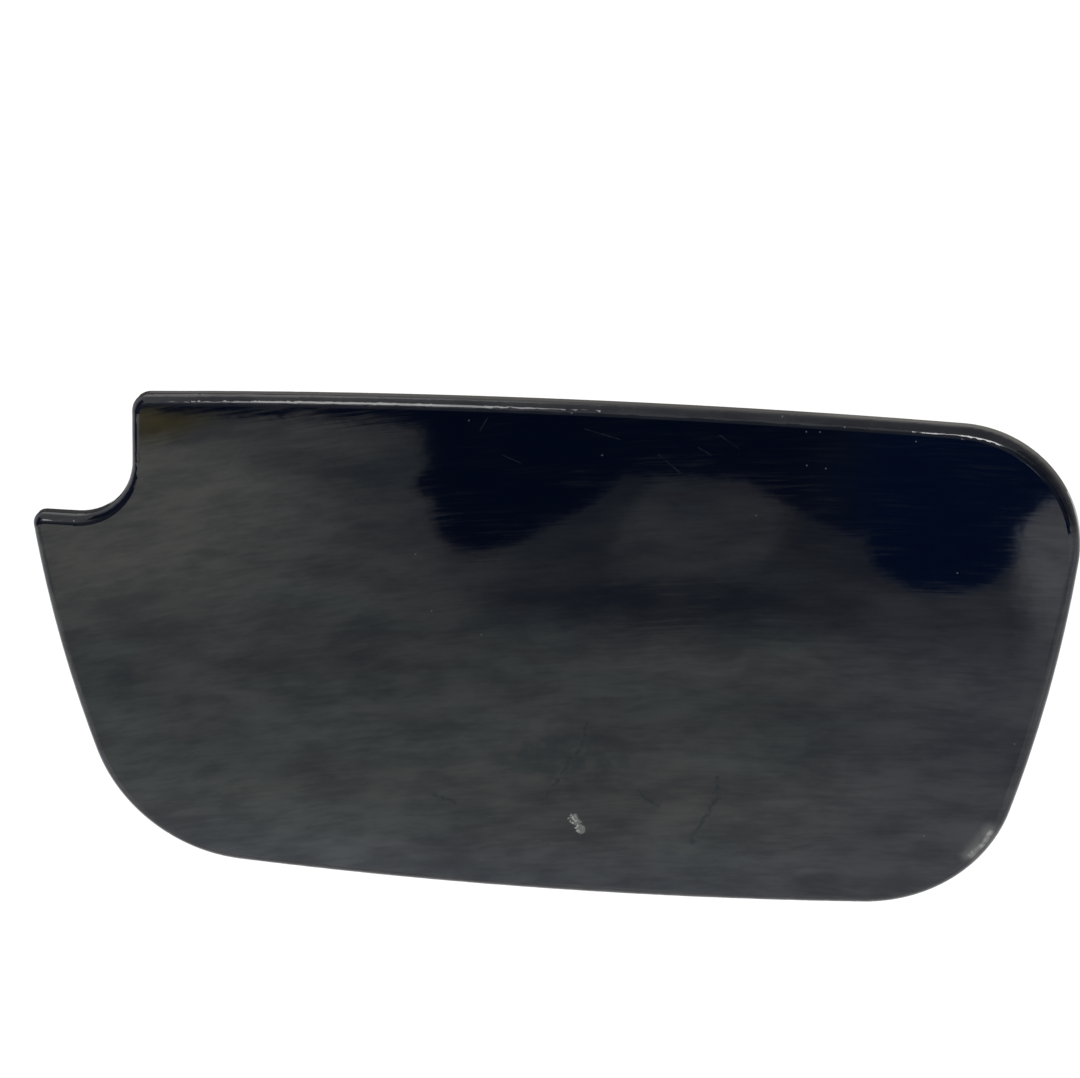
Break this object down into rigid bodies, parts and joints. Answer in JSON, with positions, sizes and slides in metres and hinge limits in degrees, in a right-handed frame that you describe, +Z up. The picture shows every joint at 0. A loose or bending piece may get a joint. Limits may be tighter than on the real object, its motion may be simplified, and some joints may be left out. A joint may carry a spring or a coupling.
{
  "type": "car fuel door",
  "caption": "Gloss black crowned fuel door with a notched corner, on a ribbed inner frame, with a sprung concealed hinge, a lock striker, rubber buffers and a filler cap holder.",
  "frame": {"origin": "midway between the two bracket bolt holes, on the rear face of the hinge bracket", "axes": "+X to the right and +Z up as the shut door is seen from outside the car, +Y into the car"},
  "size_m": [0.2008, 0.028, 0.1017],
  "materials": {
    "body_paint": "gloss black clearcoat with fine wipe marks, light scratches and one chip",
    "frame_plastic": "fine-grained black glass-filled moulding",
    "bush_plastic": "natural white acetal",
    "zinc_steel": "bright zinc plating",
    "spring_steel": "dark oiled spring steel",
    "insert_brass": "turned brass",
    "black_rubber": "matte black rubber"
  },
  "bodies": {
    "bracket": {"hinge_bracket": "zinc_steel", "hinge_pin": "zinc_steel", "pin_washer": "zinc_steel", "pin_clip": "spring_steel", "torsion_spring": "spring_steel", "open_stop_pad": "black_rubber"},
    "flap": {"outer_panel": "body_paint", "inner_frame": "frame_plastic", "cap_holder": "frame_plastic", "hinge_bushes": "bush_plastic", "push_nuts": "spring_steel", "hinge_arm": "zinc_steel", "arm_washers": "zinc_steel", "arm_screws": "zinc_steel", "striker": "zinc_steel", "striker_screws": "zinc_steel", "cap_holder_screws": "zinc_steel", "threaded_inserts": "insert_brass", "rubber_buffers": "black_rubber"}
  },
  "joints": [
    {"name": "flap_hinge", "type": "hinge", "parent": "bracket", "child": "flap", "pos_m": [0.026, -0.015, 0], "axis": [0, 0, 1], "range_deg": [0, 95], "stiffness_Nm_per_rad": 0.08, "springref_deg": -57.3, "deforming": ["torsion_spring"]}
  ]
}
